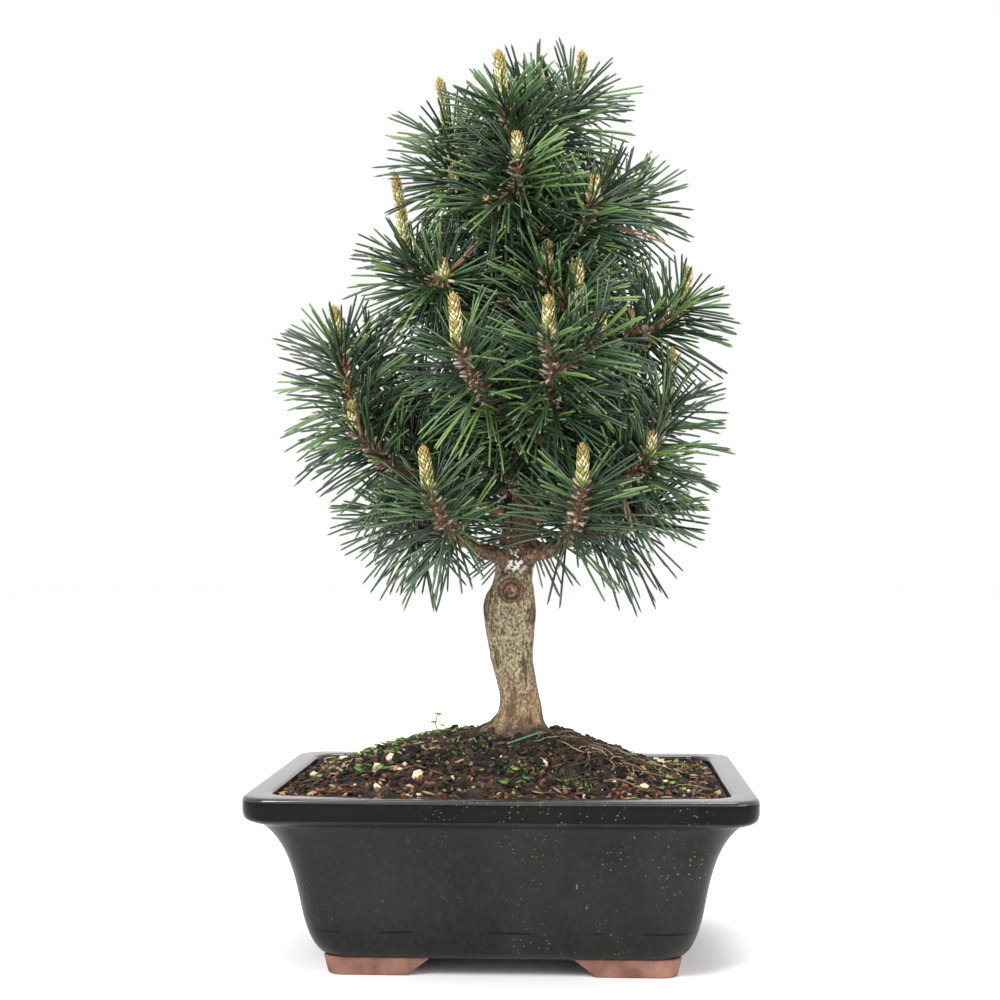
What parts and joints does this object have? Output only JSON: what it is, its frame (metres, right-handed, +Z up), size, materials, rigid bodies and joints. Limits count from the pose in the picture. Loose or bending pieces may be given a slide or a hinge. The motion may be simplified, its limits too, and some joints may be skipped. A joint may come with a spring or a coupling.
{
  "type": "japanese black pine bonsai",
  "caption": "Upright bonsai pine with a swollen lower trunk, bushy masses of long needles and pale spring candles, in a low rectangular dark glazed pot on corner feet.",
  "frame": {"origin": "on the surface that the pot stands on, under the middle of the pot", "axes": "+Z up along the trunk, +X along the pot's long side to the viewer's right, -Y towards the viewer, out of the pot's front"},
  "size_m": [0.25, 0.1958, 0.4829],
  "materials": {
    "glaze": "glossy near-black glaze with pale specks, over unglazed brown feet",
    "earth": "dark moist potting grit with pale and orange grains",
    "bark": "pale ridged bark",
    "bough_bark": "brown scaly bark",
    "needles": "dark green needles with a soft shine"
  },
  "bodies": {
    "root": {"bough_back": "bough_bark", "bough_front_left": "bough_bark", "bough_front_right": "bough_bark", "bough_front_upper": "bough_bark", "bough_inner_left": "bough_bark", "bough_left": "bough_bark", "bough_left_back": "bough_bark", "bough_low_back": "bough_bark", "bough_low_left": "bough_bark", "bough_low_left_back": "bough_bark", "bough_low_right": "bough_bark", "bough_low_right_back": "bough_bark", "bough_right": "bough_bark", "bough_right_back": "bough_bark", "bough_right_upper": "bough_bark", "bough_top_back": "bough_bark", "bough_top_front": "bough_bark", "bough_top_left": "bough_bark", "bough_upper_front_right": "bough_bark", "bough_upper_left": "bough_bark", "bough_upper_left_back": "bough_bark", "bough_upper_right": "bough_bark", "bough_upper_right_back": "bough_bark", "needles_back": "needles", "needles_front_left": "needles", "needles_front_right": "needles", "needles_front_upper": "needles", "needles_inner_left": "needles", "needles_left": "needles", "needles_left_back": "needles", "needles_low_back": "needles", "needles_low_left": "needles", "needles_low_left_back": "needles", "needles_low_right": "needles", "needles_low_right_back": "needles", "needles_right": "needles", "needles_right_back": "needles", "needles_right_upper": "needles", "needles_top": "needles", "needles_top_back": "needles", "needles_top_front": "needles", "needles_top_left": "needles", "needles_upper_front_right": "needles", "needles_upper_left": "needles", "needles_upper_left_back": "needles", "needles_upper_right": "needles", "needles_upper_right_back": "needles", "pot": "glaze", "soil": "earth", "trunk": "bark"}
  },
  "joints": []
}
